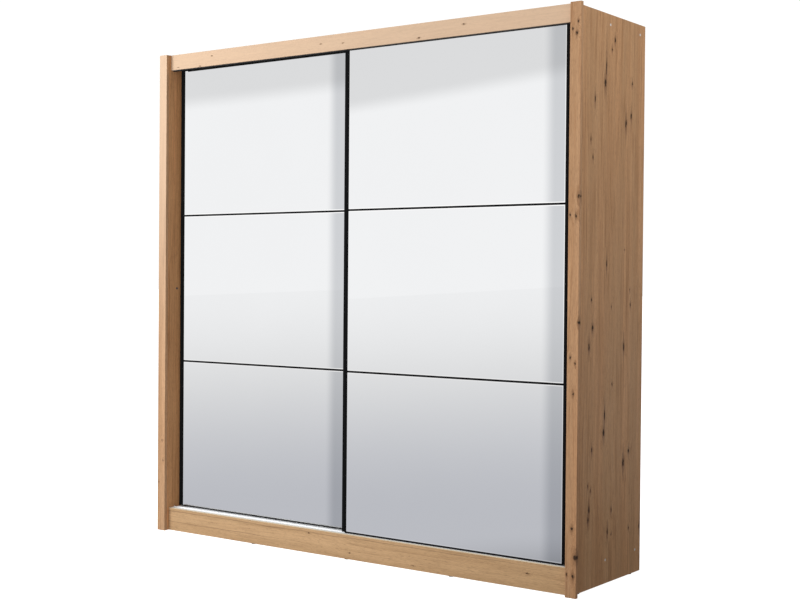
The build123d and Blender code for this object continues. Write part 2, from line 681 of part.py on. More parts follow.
def roller(x):
    """A grooved roller that runs on a bead of the bottom track."""
    half = WHEEL_WIDTH / 2
    floor = BEAD_WIDTH / 2 + WHEEL_TRACK_GAP
    mouth = floor + WHEEL_GROOVE_FLARE
    bore = AXLE_RADIUS + AXLE_CLEARANCE
    outline = Polyline(
        (bore, -half), (WHEEL_RADIUS, -half), (WHEEL_RADIUS, -mouth), (wheel_rolling_radius, -floor),
        (wheel_rolling_radius, floor), (WHEEL_RADIUS, mouth), (WHEEL_RADIUS, half), (bore, half),
        (bore, -half))
    wheel = revolve(make_face(outline), Axis.Y)
    return Pos(x, board_middle, wheel_z) * wheel


def roller_axles():
    """The two pins that the rollers turn on."""
    start = board_front + NOTCH_GAP
    length = board_rear - start
    return [rod((x, start, wheel_z), (0, 1, 0), AXLE_RADIUS, length) for x in carrier_xs]


def top_guides():
    """The two plastic guides, each with a tongue that runs in the top track's channel."""
    guides = []
    half = GUIDE_LENGTH / 2
    reach = CHANNEL_WIDTH / 2 - GUIDE_CLEARANCE
    tongue_top = top_under - TRACK_BASE - GUIDE_TOP_GAP
    for x, seat in zip(carrier_xs, guide_blocks(0)):
        tongue = block(x - half, x + half, board_middle - reach, board_middle + reach,
                       door_top - RAIL_BASE, tongue_top)
        tongue = fillet(tongue.edges().group_by(Axis.Z)[-1], GUIDE_RADIUS)
        guides.append(seat + tongue)
    return guides


def save_door(side):
    """Write every piece of one door where it stands at rest."""
    closed = side_inner - DOOR_EDGE_GAP - half_door
    x = -closed if side == "left" else closed - RIGHT_DOOR_AJAR
    place = Pos(x, door_fronts[side], 0)
    outer = -1 if side == "left" else 1
    pieces = {
        "door_board": door_board(),
        "outer_handle_profile": handle_profile(outer),
        "inner_handle_profile": handle_profile(-outer),
        "top_rail": top_rail(),
        "bottom_rail": bottom_rail(),
        "lower_mirror": mirror_pane(0),
        "middle_mirror": mirror_pane(1),
        "upper_mirror": mirror_pane(2),
        "divider_strips": divider_strips(),
        "brush_seals": brush_seals(side == "right"),
        "roller_carriers": roller_carriers(),
        "roller_axles": roller_axles(),
        "top_guides": top_guides(),
        "outer_roller": roller(outer * (half_door - CARRIER_INSET)),
        "inner_roller": roller(-outer * (half_door - CARRIER_INSET)),
    }
    for name, shape in pieces.items():
        placed = [place * solid for solid in shape] if isinstance(shape, list) else place * shape
        save(side + "_" + name, placed)


# ---- Write every sub-part -------------------------------------------------------------------
os.makedirs("parts", exist_ok=True)

save("side_panel_left", side_panel(-1, left_pins))
save("side_panel_right", side_panel(1, right_pins + socket_screws))
save("front_trim_left", front_trim(-1))
save("front_trim_right", front_trim(1))
board_fixings = partition_screws() + side_screws(-1) + side_screws(1) + back_nails(-1) + back_nails(1)
top_fixings = board_fixings + high_track_screws + angle_screws + bracket_screws
save("top_panel", crossboard(top_under, top_fixings))
save("bottom_panel", crossboard(floor_under, board_fixings + low_track_screws + angle_screws))
save("centre_partition", partition())
save("top_fascia", drilled(facing(HEIGHT - FASCIA_HEIGHT, HEIGHT), angle_screws))
save("front_plinth", drilled(facing(FLOOR_GAP, PLINTH_TOP), angle_screws + stems))
save("rear_plinth", rear_plinth())
save("back_panel_left", back_panel(-1))
save("back_panel_right", back_panel(1))
save("back_panel_nails", back_nails(-1) + back_nails(1))
for number, z in enumerate(lower_shelf_zs, start=1):
    save("left_shelf_%d" % number, shelf(left_bay, z))
save("left_hat_shelf", shelf(left_bay, hat_shelf_z))
save("right_hat_shelf", shelf(right_bay, hat_shelf_z))
save("shelf_pins", left_pins + right_pins)
save("hanging_rail", hanging_rail())
save("hanging_rail_sockets", [rail_socket(1), rail_socket(-1)])
save("bottom_track", bottom_track())
save("top_track", top_track())
save("end_buffers", end_buffers())
save("carcass_screws", side_screws(-1) + side_screws(1) + partition_screws())
save("screw_caps", side_caps(-1) + side_caps(1))
save("trim_dowels", trim_dowels(-1) + trim_dowels(1))
save("angle_brackets", angles)
save("wall_brackets", brackets)
track_fixings = low_track_screws + high_track_screws
save("small_screws", angle_screws + bracket_screws + track_fixings + socket_screws)
save("floor_glides", [rod((x, y, 0), (0, 0, 1), GLIDE_RADIUS, FLOOR_GAP) + stem
                      for (x, y), stem in zip(glide_places(), stems)])
save_door("left")
save_door("right")
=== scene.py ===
import math
import random

import bpy
from mathutils import Matrix, Vector


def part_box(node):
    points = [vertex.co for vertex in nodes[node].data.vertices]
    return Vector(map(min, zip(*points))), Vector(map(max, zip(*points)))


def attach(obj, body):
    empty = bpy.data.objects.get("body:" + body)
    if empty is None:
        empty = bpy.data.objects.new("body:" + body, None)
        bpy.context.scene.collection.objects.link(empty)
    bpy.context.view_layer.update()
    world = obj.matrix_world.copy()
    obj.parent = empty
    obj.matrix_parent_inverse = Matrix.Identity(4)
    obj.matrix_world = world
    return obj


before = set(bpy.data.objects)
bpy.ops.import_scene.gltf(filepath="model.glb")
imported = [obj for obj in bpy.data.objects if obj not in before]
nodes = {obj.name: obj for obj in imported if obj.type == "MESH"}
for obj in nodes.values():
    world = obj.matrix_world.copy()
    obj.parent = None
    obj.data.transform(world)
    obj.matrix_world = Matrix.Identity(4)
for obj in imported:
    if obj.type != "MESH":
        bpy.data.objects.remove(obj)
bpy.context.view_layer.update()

MM = 0.001

# ---------------------------------------------------------------- camera
EYE = Vector((3.3834, -4.5389, 1.1473))
EYE_YAW = math.radians(-36.13)
EYE_PITCH = math.radians(0.888)
EYE_ROLL = math.radians(-0.462)
LENS = 60.10
SENSOR = 36.0


def make_camera():
    """The camera stands in front of the wardrobe, well to its right, and looks across it almost level."""
    ahead = Vector((math.sin(EYE_YAW) * math.cos(EYE_PITCH),
                    math.cos(EYE_YAW) * math.cos(EYE_PITCH),
                    -math.sin(EYE_PITCH)))
    level = Vector((math.cos(EYE_YAW), -math.sin(EYE_YAW), 0))
    down = ahead.cross(level)
    right = level * math.cos(EYE_ROLL) + down * math.sin(EYE_ROLL)
    up = level * math.sin(EYE_ROLL) - down * math.cos(EYE_ROLL)
    data = bpy.data.cameras.new("camera")
    data.lens = LENS
    data.sensor_width = SENSOR
    data.clip_end = 200
    camera = bpy.data.objects.new("camera", data)
    camera.matrix_world = Matrix.Translation(EYE) @ Matrix((right, up, -ahead)).transposed().to_4x4()
    bpy.context.scene.collection.objects.link(camera)
    bpy.context.scene.camera = camera


# ---------------------------------------------------------------- node trees
class Tree:
    """Adds shader nodes. Each method returns the socket that comes out of the node it added."""

    def __init__(self, tree):
        self.tree = tree

    def add(self, kind, inputs, out=0, **settings):
        node = self.tree.nodes.new("ShaderNode" + kind)
        for name, value in settings.items():
            setattr(node, name, value)
        for key, value in inputs.items():
            self.set(node.inputs[key], value)
        return node.outputs[out]

    def set(self, socket, value):
        if isinstance(value, bpy.types.NodeSocket):
            self.tree.links.new(value, socket)
        else:
            socket.default_value = value

    def math(self, operation, *values):
        return self.add("Math", dict(enumerate(values)), operation=operation)

    def vector(self, operation, *values):
        out = "Value" if operation in ("LENGTH", "DOT_PRODUCT", "DISTANCE") else "Vector"
        return self.add("VectorMath", dict(enumerate(values)), out, operation=operation)

    def split(self, vector, axis):
        return self.add("SeparateXYZ", {0: vector}, axis)

    def join(self, x, y, z):
        return self.add("CombineXYZ", {0: x, 1: y, 2: z})

    def noise(self, vector, scale, detail=3.0, roughness=0.55, out=0):
        inputs = {"Vector": vector, "Scale": scale, "Detail": detail, "Roughness": roughness}
        return self.add("TexNoise", inputs, out)

    def span(self, value, low, high, start=0.0, end=1.0, soft=True):
        kind = "SMOOTHSTEP" if soft else "LINEAR"
        inputs = {"Value": value, "From Min": low, "From Max": high, "To Min": start, "To Max": end}
        return self.add("MapRange", inputs, interpolation_type=kind)

    def mix(self, share, first, second, blend="MIX"):
        node = self.tree.nodes.new("ShaderNodeMix")
        node.data_type = "RGBA"
        node.blend_type = blend
        sockets = (node.inputs[0], node.inputs[6], node.inputs[7])
        for socket, value in zip(sockets, (share, first, second)):
            self.set(socket, value)
        return node.outputs[2]

    def bump(self, height, distance, strength=1.0):
        return self.add("Bump", {"Height": height, "Distance": distance, "Strength": strength})


class Material(Tree):
    """A Principled surface: constant values go straight on the shader's sockets."""

    def __init__(self, name, **constants):
        self.data = bpy.data.materials.new(name)
        self.data.use_nodes = True
        super().__init__(self.data.node_tree)
        self.shader = self.tree.nodes["Principled BSDF"]
        self.place = self.add("TexCoord", {}, "Object")
        self.wire(**constants)

    def wire(self, **values):
        for name, value in values.items():
            self.set(self.shader.inputs[name.replace("_", " ").title().replace("Ior", "IOR")], value)

    def facing(self, axis, low, high, start, end):
        """A share that changes from start to end as the surface turns from facing low to facing high."""
        normal = self.add("NewGeometry", {}, "Normal")
        return self.span(self.split(normal, axis), low, high, start, end)


# ---------------------------------------------------------------- oak decor
OAK_LIGHT = (0.61, 0.356, 0.186, 1)
OAK_DARK = (0.45, 0.250, 0.120, 1)
OAK_GREY = (0.50, 0.320, 0.176, 1)
# The next two colours are painted light, for lit fronts and lit upper edges; the knot colour after them also
# paints shade on undersides.
OAK_PAINTED_LIGHT = (0.70, 0.52, 0.37, 1)
OAK_PAINTED_HIGHLIGHT = (0.86, 0.72, 0.56, 1)
OAK_KNOT_AND_PAINTED_SHADE = (0.034, 0.018, 0.010, 1)
OAK_HALO = (0.19, 0.092, 0.040, 1)
# How much larger a knot is drawn than its core, and how far its outline is warped, in metres.
KNOT_GROWTH = {"across": 1.3, "along": 1.35}
KNOT_WARP = 0.008
FAR_FROM_KNOTS = 9.0
STAIN_PER_KNOT = {"along": 0.26, "across": 0.75}
STAIN_STRENGTH = 0.48
HALO_STRENGTH = 0.38
CORE_STRENGTH = 0.93
# Small knots at random, in cells: scale along the grain against across it, share of the cells that stay
# bare, and half of the largest knot, in cells.
SCATTER_STRETCH = 0.42
SCATTER_BARE = 0.35
SCATTER_SIZE = 0.085
# How far the grain moves aside at a knot, in metres, up to how many half knots away, and how far it sways.
BEND = 0.010
BEND_REACH = 6.0
SWAY = 0.05
OAK_RELIEF = 0.00025
# Layers of the grain: scale along it against across it, noise scale, octaves, roughness.
GRAIN_LAYERS = {"bands": (0.022, 24, 3, 0.6), "rings": (0.03, 95, 3, 0.6), "fibres": (0.02, 420, 2, 0.5),
                "pores": (0.055, 900, 1, 0.4), "warmth": (0.05, 9, 2, 0.5)}
# Tints, in order: the layer, where it starts and is full, its strength, its colour, whether figure scales it.
GRAIN_TINTS = (
    ("bands", 0.36, 0.64, 0.8, OAK_DARK, True), ("warmth", 0.42, 0.66, 0.6, OAK_GREY, True),
    ("rings", 0.50, 0.60, 0.5, OAK_DARK, True), ("rings", 0.58, 0.66, 0.28, OAK_HALO, True),
    ("fibres", 0.42, 0.62, 0.2, OAK_HALO, False), ("pores", 0.57, 0.67, 0.4, OAK_HALO, False),
)
CRACK_WANDER = 0.012
CRACK_FADE = 0.25
CRACK_WIDTH = (0.0004, 0.0022)
CRACK_STRENGTH = 0.55
AXES = "XYZ"


def along_axis(axis, along, across=1.0):
    """A vector with one value along the grain's axis and another on the two axes across it."""
    return Vector([along if a == axis else across for a in AXES])


def stretch(m, vector, axis, along):
    """Coordinates scaled along the grain only, so that a noise is drawn out along it."""
    return m.vector("MULTIPLY", vector, along_axis(axis, along))


def scattered_knots(m, axis, warped, scatter, field):
    """Small knots at random, as many on a metre as scatter says."""
    cells = m.vector("MULTIPLY", warped, along_axis(axis, SCATTER_STRETCH) * scatter)
    near = m.add("TexVoronoi", {"Vector": cells, "Scale": 1.0}, "Distance")
    lot = m.add("SeparateColor", {0: m.add("TexVoronoi", {"Vector": cells, "Scale": 1.0}, "Color")})
    size = m.math("MAXIMUM", m.span(lot, SCATTER_BARE, 1.0, 0.0, SCATTER_SIZE, soft=False), 0.001)
    return m.math("MINIMUM", m.math("DIVIDE", near, size), field)


def knot_field(m, axis, thickness, knots, scatter):
    """How far a point is from the nearest knot, in half knots, and from the nearest stain, in half stains.
    Knots are (across, along, width in mm, length in mm)."""
    field = tail = FAR_FROM_KNOTS
    wobble = m.noise(stretch(m, m.place, axis, 0.5), 170, 2, out=1)
    warped = m.vector("MULTIPLY_ADD", m.vector("SUBTRACT", wobble, Vector((0.5, 0.5, 0.5))),
                      along_axis(axis, 2.0) * KNOT_WARP, m.place)
    for across, along, width, length in knots:
        at = along_axis(axis, along, across)
        per_half = along_axis(axis, 2 / (length * MM * KNOT_GROWTH["along"]),
                              2 / (width * MM * KNOT_GROWTH["across"]))
        per_half[AXES.index(thickness)] = 0
        start = Vector([-a * b for a, b in zip(at, per_half)])
        away = m.vector("MULTIPLY_ADD", warped, per_half, start)
        field = m.math("MINIMUM", m.vector("LENGTH", away), field)
        per_stain = along_axis(axis, STAIN_PER_KNOT["along"], STAIN_PER_KNOT["across"])
        tail = m.math("MINIMUM", m.vector("LENGTH", m.vector("MULTIPLY", away, per_stain)), tail)
    if scatter:
        field = scattered_knots(m, axis, warped, scatter, field)
    return field, tail


def grain_figure(m, axis, field, seed, figure):
    """The grain, bent round the knots. Gives its colour, its growth rings and the height of its surface."""
    bend = m.span(field, 0.0, BEND_REACH, BEND, 0.0)
    sway = m.noise(stretch(m, m.place, axis, 0.35), 3.0, 1)
    shift = m.math("ADD", bend, m.math("MULTIPLY", sway, SWAY))
    sideways = m.vector("MULTIPLY", m.join(shift, shift, shift), along_axis(axis, 0))
    grain = m.vector("ADD", m.place, sideways)
    grain = m.vector("ADD", grain, Vector((seed, seed * 0.7, seed * 1.3)))
    layers = {name: m.noise(stretch(m, grain, axis, along), *noise)
              for name, (along, *noise) in GRAIN_LAYERS.items()}
    colour = OAK_LIGHT
    for name, low, high, strength, tint, scaled in GRAIN_TINTS:
        full = strength * figure if scaled else strength
        colour = m.mix(m.span(layers[name], low, high, 0.0, full), colour, tint)
    pits = m.span(layers["pores"], 0.6, 0.72, 0.0, 0.5)
    height = m.math("SUBTRACT", m.math("MULTIPLY", layers["fibres"], 0.5), pits)
    return colour, layers["rings"], height


def add_crack(m, colour, level, end):
    """A fine dark line along the board, at one height, that fades out towards its right end."""
    wander = m.math("MULTIPLY", m.noise(m.place, 7, 3), CRACK_WANDER)
    height = m.math("SUBTRACT", m.split(m.place, "Z"), wander)
    across = m.math("ABSOLUTE", m.math("SUBTRACT", height, level))
    line = m.math("MULTIPLY", m.span(across, *CRACK_WIDTH, CRACK_STRENGTH, 0.0),
                  m.span(m.split(m.place, "X"), end - CRACK_FADE, end, 1.0, 0.0))
    return m.mix(line, colour, OAK_HALO)


def shade_faces(m, colour, painted_light_rise, painted_top_highlight, painted_under_shade):
    """Painted light and shade: a front painted paler upwards as if lit from above, an upper edge painted with
    a pale
     highlight, and an underside painted dark as shade. The front's painted light is (from height, to height,
     share)."""
    # Painted light: front faces grow paler towards the top.
    if painted_light_rise:
        low, high, share = painted_light_rise
        rise = m.span(m.split(m.place, "Z"), low, high, 0.0, share)
        front = m.facing("Y", -0.9, -0.3, 1.0, 0.0)
        colour = m.mix(m.math("MULTIPLY", rise, front), colour, OAK_PAINTED_LIGHT)
    # Painted highlight: faces turned upwards are painted paler.
    if painted_top_highlight:
        colour = m.mix(m.facing("Z", 0.3, 0.8, 0.0, painted_top_highlight), colour, OAK_PAINTED_HIGHLIGHT)
    # Painted shade: faces turned downwards are painted dark, in the knot colour.
    if painted_under_shade:
        colour = m.mix(m.facing("Z", -0.9, -0.5, painted_under_shade, 0.0), colour, OAK_KNOT_AND_PAINTED_SHADE)
    return colour


def oak(name, axis, thickness="Y", knots=(), scatter=0.0, seed=0.0, painted_light_rise=None, painted_top_highlight=0.0,
        painted_under_shade=0.0, tone=None, figure=1.0, cracks=()):
    """Artisan oak decor with its grain along one axis, on a board that is thin along another. tone multiplies
    the grain's colour, figure is how strong its bands are, and cracks are (height, end)."""
    m = Material(name, specular_ior_level=0.28)
    field, tail = knot_field(m, axis, thickness, knots, scatter)
    ragged = m.math("SUBTRACT", m.noise(stretch(m, m.place, axis, 0.4), 300, 2), 0.5)
    edge = m.math("ADD", field, ragged)
    core = m.span(edge, 0.55, 1.0, CORE_STRENGTH, 0.0)
    halo = m.span(edge, 0.8, 2.4, HALO_STRENGTH, 0.0)
    stain = m.span(m.math("MULTIPLY_ADD", ragged, 0.6, tail), 0.3, 1.3, STAIN_STRENGTH, 0.0)
    colour, rings, height = grain_figure(m, axis, field, seed, figure)
    for level, end in cracks:
        colour = add_crack(m, colour, level, end)
    colour = shade_faces(m, colour, painted_light_rise, painted_top_highlight, painted_under_shade)
    if tone:
        colour = m.mix(1.0, colour, (*tone, 1), "MULTIPLY")
    colour = m.mix(stain, colour, OAK_HALO)
    colour = m.mix(halo, colour, OAK_HALO)
    colour = m.mix(core, colour, OAK_KNOT_AND_PAINTED_SHADE)
    gloss = m.span(rings, 0.3, 0.7, 0.48, 0.6, soft=False)
    rough = m.math("MULTIPLY_ADD", core, 0.3, gloss)
    m.wire(base_color=colour, roughness=rough, normal=m.bump(height, OAK_RELIEF))
    return m.data


# ---------------------------------------------------------------- metals, plastics and the rest
# The two tones that each finish is mixed from.
TONES = {
    "black_aluminium": ((0.003, 0.003, 0.0032, 1), (0.005, 0.005, 0.0054, 1)),
    "track_aluminium": ((0.93, 0.93, 0.93, 1), (0.99, 0.99, 0.99, 1)),
    "zinc_steel": ((0.55, 0.56, 0.58, 1), (0.72, 0.73, 0.74, 1)),
    "chrome_tube": ((0.78, 0.78, 0.79, 1), (0.86, 0.86, 0.87, 1)),
    "white_nylon": ((0.78, 0.77, 0.74, 1), (0.84, 0.83, 0.8, 1)),
    "black_plastic": ((0.016, 0.016, 0.017, 1), (0.03, 0.03, 0.03, 1)),
    "cap_plastic": ((0.66, 0.6, 0.53, 1), (0.74, 0.69, 0.62, 1)),
    "brush_pile": ((0.007, 0.007, 0.0075, 1), (0.012, 0.012, 0.013, 1)),
    "buffer_rubber": ((0.05, 0.05, 0.05, 1), (0.075, 0.075, 0.075, 1)),
}


def brushed(name, axis, roughness, **constants):
    """Metal with fine draw lines along one axis: they shift the tone and the gloss a little."""
    m = Material(name, **{"metallic": 1.0, **constants})
    draw = m.noise(stretch(m, m.place, axis, 0.004), 700, 2, 0.5)
    cloud = m.noise(m.place, 18, 2)
    tint = m.mix(m.span(draw, 0.3, 0.7), *TONES[name])
    gloss = m.span(cloud, 0.3, 0.7, roughness * 0.9, roughness * 1.1)
    rough = m.math("ADD", gloss, m.math("MULTIPLY", draw, 0.06))
    m.wire(base_color=tint, roughness=rough, normal=m.bump(draw, 0.00002))
    return m.data


def plated(name, roughness):
    """Plated or drawn small metal parts: a mottled tone and gloss in all directions."""
    m = Material(name, metallic=1.0)
    mottle = m.noise(m.place, 320, 3)
    m.wire(base_color=m.mix(m.span(mottle, 0.3, 0.7), *TONES[name]),
           roughness=m.span(mottle, 0.25, 0.75, roughness * 0.8, roughness * 1.25, soft=False),
           normal=m.bump(mottle, 0.00003))
    return m.data


def moulded(name, roughness, grain=600):
    """Moulded plastic or rubber: a fine matt grain and a slight change of tone."""
    m = Material(name, specular_ior_level=0.45)
    fine = m.noise(m.place, grain, 2)
    cloud = m.noise(m.place, 25, 2)
    m.wire(base_color=m.mix(m.span(cloud, 0.3, 0.7), *TONES[name]),
           roughness=m.span(fine, 0.3, 0.7, roughness * 0.85, roughness * 1.15, soft=False),
           normal=m.bump(fine, 0.00005))
    return m.data


BOARD_LIGHT = (0.44, 0.30, 0.18, 1)
BOARD_DARK = (0.30, 0.19, 0.105, 1)
BOARD_CLOUD = (0.25, 0.155, 0.085, 1)
SCREEN_WAVES = 2600             # radians per metre


def hardboard():
    """Raw hardboard: flecks of fibre over the screen pattern that its back is pressed with."""
    m = Material("hdf_back", specular_ior_level=0.25)
    flecks = m.noise(stretch(m, m.place, "Z", 0.6), 240, 4, 0.7)
    cloud = m.noise(m.place, 5, 3)
    waves = [m.math("SINE", m.math("MULTIPLY", m.split(m.place, axis), SCREEN_WAVES)) for axis in "XZ"]
    colour = m.mix(m.span(flecks, 0.3, 0.7), BOARD_DARK, BOARD_LIGHT)
    colour = m.mix(m.span(cloud, 0.3, 0.7, 0.0, 0.35), colour, BOARD_CLOUD)
    height = m.math("MULTIPLY_ADD", m.math("MULTIPLY", *waves), 0.35, flecks)
    rough = m.span(flecks, 0.3, 0.7, 0.62, 0.82)
    m.wire(base_color=colour, roughness=rough, normal=m.bump(height, 0.0002))
    return m.data


BEECH_LIGHT = (0.74, 0.54, 0.35, 1)
BEECH_DARK = (0.62, 0.42, 0.25, 1)
BEECH_FLECK = (0.36, 0.2, 0.1, 1)


def beech():
    """Turned beech: pale, with short dark flecks along the dowel."""
    m = Material("beech_wood", specular_ior_level=0.3)
    grain = m.noise(stretch(m, m.place, "Y", 0.05), 500, 3)
    flecks = m.noise(stretch(m, m.place, "Y", 0.25), 1500, 1)
    colour = m.mix(m.span(grain, 0.3, 0.7), BEECH_DARK, BEECH_LIGHT)
    colour = m.mix(m.span(flecks, 0.62, 0.7, 0.0, 0.5), colour, BEECH_FLECK)
    rough = m.span(grain, 0.3, 0.7, 0.5, 0.65)
    m.wire(base_color=colour, roughness=rough, normal=m.bump(grain, 0.0001))
    return m.data


MIRROR_FILM = (0.855, 0.862, 0.872, 1)
MIRROR_HAZE = (0.848, 0.855, 0.865, 1)
# Painted reflection: a darker, bluer film for a band at each door's right end.
MIRROR_PAINTED_DARK_BAND = (0.605, 0.618, 0.639, 1)
# Painted highlight: a near-white film along the pane's visible seams.
SEAM_PAINTED_HIGHLIGHT = (0.99, 0.99, 0.99, 1)
PAINTED_HIGHLIGHT_WIDTH = (0.0025, 0.0045)
GLASS_EDGE = (0.24, 0.42, 0.36, 1)
SILVER_ROUGHNESS = 0.012
EDGE_ROUGHNESS = 0.25
# How wide the painted darker reflection band is at each door's right end, and how softly it starts.
PAINTED_BAND_WIDTH = {"left": 0.152, "right": 0.078}
PAINTED_BAND_BLUR = 0.03
# How much of a pane's upright edges the profiles' lips cover.
LIP_COVER = 0.007
# Lean of each door's mirrors at their left and right ends, in degrees. It grows between two heights.
MIRROR_TWIST = {"left": (0.52, -0.20), "right": (0.53, -0.53)}
TWIST_RISE = (1.3, 2.0)


def mirror(pane):
    """Silvered glass: green at its cut edges, with a painted highlight along its seams and a painted darker
    reflection
     band towards the door's right end, and twisted by a hair."""
    side = pane.split("_")[0]
    m = Material(pane + "_silver", metallic=1.0)
    low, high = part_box(pane)
    x = m.split(m.place, "X")
    z = m.split(m.place, "Z")
    left = m.math("SUBTRACT", x, low.x + LIP_COVER)
    right = m.math("SUBTRACT", high.x - LIP_COVER, x)
    ends = m.math("MINIMUM", m.math("SUBTRACT", z, low.z), m.math("SUBTRACT", high.z, z))
    inside = m.math("MINIMUM", m.math("MINIMUM", left, right), ends)
    # Painted highlight: the film turns near-white close to the pane's visible edges.
    seam_highlight = m.span(inside, *PAINTED_HIGHLIGHT_WIDTH, 1.0, 0.0)
    # Painted reflection: the film darkens into a bluer band towards the door's right end.
    painted_band_start = high.x - PAINTED_BAND_WIDTH[side]
    painted_band = m.span(x, painted_band_start - PAINTED_BAND_BLUR, painted_band_start + PAINTED_BAND_BLUR)
    film = m.mix(m.span(m.noise(m.place, 2.2, 2), 0.3, 0.7), MIRROR_FILM, MIRROR_HAZE)
    film = m.mix(seam_highlight, m.mix(painted_band, film, MIRROR_PAINTED_DARK_BAND), SEAM_PAINTED_HIGHLIGHT)
    normal = m.add("NewGeometry", {}, "Normal")
    front = m.span(m.math("ABSOLUTE", m.split(normal, "Y")), 0.5, 0.9)
    start, end = [math.tan(math.radians(angle)) for angle in MIRROR_TWIST[side]]
    lean = m.math("MULTIPLY", m.span(x, low.x, high.x, start, end, soft=False),
                  m.span(z, *TWIST_RISE, 0.4, 1.0))
    bent = m.vector("NORMALIZE", m.vector("ADD", normal, m.join(0, 0, lean)))
    rough = m.math("MULTIPLY_ADD", front, SILVER_ROUGHNESS - EDGE_ROUGHNESS, EDGE_ROUGHNESS)
    m.wire(base_color=m.mix(front, GLASS_EDGE, film), roughness=rough, normal=bent)
    return m.data


# ---------------------------------------------------------------- which node wears what
# Knots of the decor: metres across and along the board, then width and length in millimetres.
SIDE_KNOTS = (
    (0.034, 2.059, 9, 14), (0.011, 2.021, 7, 9), (-0.034, 1.950, 6, 60), (-0.042, 1.889, 14, 26),
    (-0.122, 1.821, 8, 20), (0.181, 1.912, 7, 10), (0.174, 1.787, 9, 20), (0.130, 1.752, 11, 30),
    (-0.152, 1.669, 6, 10), (-0.135, 1.604, 6, 12), (-0.018, 1.211, 7, 24), (-0.136, 1.077, 7, 9),
    (-0.125, 0.973, 12, 16), (-0.151, 0.905, 10, 22), (0.024, 1.049, 5, 6), (0.184, 1.055, 7, 11),
    (0.177, 1.113, 5, 7), (0.127, 1.267, 4, 5), (0.129, 0.893, 10, 26), (0.036, 0.756, 6, 9),
    (-0.023, 0.640, 8, 34), (-0.029, 0.576, 14, 22), (-0.122, 0.518, 8, 14), (0.181, 0.487, 10, 13),
    (0.135, 0.446, 13, 30), (-0.150, 0.387, 6, 9), (-0.129, 0.367, 6, 9), (-0.139, 0.300, 9, 24),
    (-0.146, 0.262, 10, 18), (0.039, 0.275, 6, 14), (0.010, 0.197, 7, 22), (0.041, 0.183, 5, 6),
    (0.187, 0.185, 6, 7), (0.279, 0.181, 7, 16),
)
RIGHT_TRIM_KNOTS = (
    (1.063, 2.076, 6, 9), (1.041, 2.053, 5, 7), (1.058, 2.036, 7, 10), (1.071, 1.451, 9, 14),
    (1.037, 1.384, 5, 8), (1.061, 1.380, 7, 12), (1.074, 0.996, 6, 9), (1.043, 0.869, 6, 8),
    (1.064, 0.848, 5, 7), (1.056, 0.739, 6, 10), (1.056, 0.252, 8, 9), (1.071, 0.149, 12, 16),
    (1.037, 0.084, 5, 8), (1.063, 0.080, 8, 12),
)
LEFT_TRIM_KNOTS = ((-1.048, 0.410, 4, 5), (-1.041, 0.320, 3, 6), (-1.066, 0.219, 5, 6))
FASCIA_KNOTS = (
    (2.125, -0.772, 3, 4), (2.087, -0.846, 3, 4), (2.092, -0.983, 3, 4), (2.117, -0.151, 3, 4),
    (2.110, -0.034, 3, 4), (2.092, 0.346, 4, 5), (2.124, 0.556, 4, 5),
)
PLINTH_KNOTS = ((0.085, -0.199, 3, 6), (0.029, 0.019, 3, 5), (0.018, 0.338, 3, 6), (0.060, 0.860, 4, 8))


def oak_boards():
    """The boards that don't wear the lengthwise oak: six with a figure of their own, three upright ones."""
    upright = oak("oak_upright", "Z", "X", scatter=3.0, seed=3.1)
    # Painted light on the left trim's and the fascia's fronts, painted shade under the fascia, a painted
    # highlight on the plinth's upper edge.
    return {
        "side_panel_right": oak("oak_side_right", "Z", "X", SIDE_KNOTS, scatter=3.0, seed=0.4,
                                tone=(1.03, 0.94, 0.835)),
        "side_panel_left": oak("oak_side_left", "Z", "X", scatter=3.4, seed=1.9, tone=(1.16, 0.95, 0.74)),
        "front_trim_right": oak("oak_trim_right", "Z", "Y", RIGHT_TRIM_KNOTS, seed=5.2,
                                tone=(0.99, 0.91, 0.86)),
        "front_trim_left": oak("oak_trim_left", "Z", "Y", LEFT_TRIM_KNOTS, seed=2.6,
                               painted_light_rise=(0.4, 2.1, 0.7), tone=(1, 0.97, 0.96)),
        "top_fascia": oak("oak_fascia", "X", "Y", FASCIA_KNOTS, seed=4.4, painted_light_rise=(0.0, 1.0, 0.6),
                          figure=0.55, painted_under_shade=0.95),
        "front_plinth": oak("oak_plinth", "X", "Y", PLINTH_KNOTS, seed=6.3, tone=(1.0, 1.06, 1.03),
                            figure=0.5, painted_top_highlight=0.8, cracks=((0.083, 0.9), (0.036, -0.3))),
        "centre_partition": upright,
        "left_door_board": upright,
        "right_door_board": upright,
    }


def slot_finishes():
    """The material of each slot that the CAD nodes are packed with, apart from the mirrors'."""
    return {
        "oak_board": oak("oak_lengthwise", "X", "Z", scatter=3.0, seed=7.7),
        "hdf_back": hardboard(),
        "black_aluminium": brushed("black_aluminium", "Z", 0.42, metallic=0.0, specular_ior_level=0.07),
        "track_aluminium": brushed("track_aluminium", "X", 0.5, metallic=0.1),
        "zinc_steel": plated("zinc_steel", 0.34),
        "chrome_tube": brushed("chrome_tube", "X", 0.1),
        "white_nylon": moulded("white_nylon", 0.4),
        "black_plastic": moulded("black_plastic", 0.5),
        "cap_plastic": moulded("cap_plastic", 0.42),
        "brush_pile": moulded("brush_pile", 0.9, grain=1500),
        "buffer_rubber": moulded("buffer_rubber", 0.7),
        "beech_wood": beech(),
    }


def dress():
    """Gives every CAD node its material, by its name or by the material slot it was packed with."""
    boards = oak_boards()
    finishes = slot_finishes()
    for name, node in nodes.items():
        # The top track wears black aluminium instead of its packed slot, a dark strip that stands in for the
        # shade in the gap above the doors.
        packed_slot = "black_aluminium" if name == "top_track" else node.data.materials[0].name
        if packed_slot == "mirror_silver":
            worn = mirror(name)
        else:
            worn = boards.get(name) or finishes[packed_slot]
        for slot in node.material_slots:
            slot.material = worn


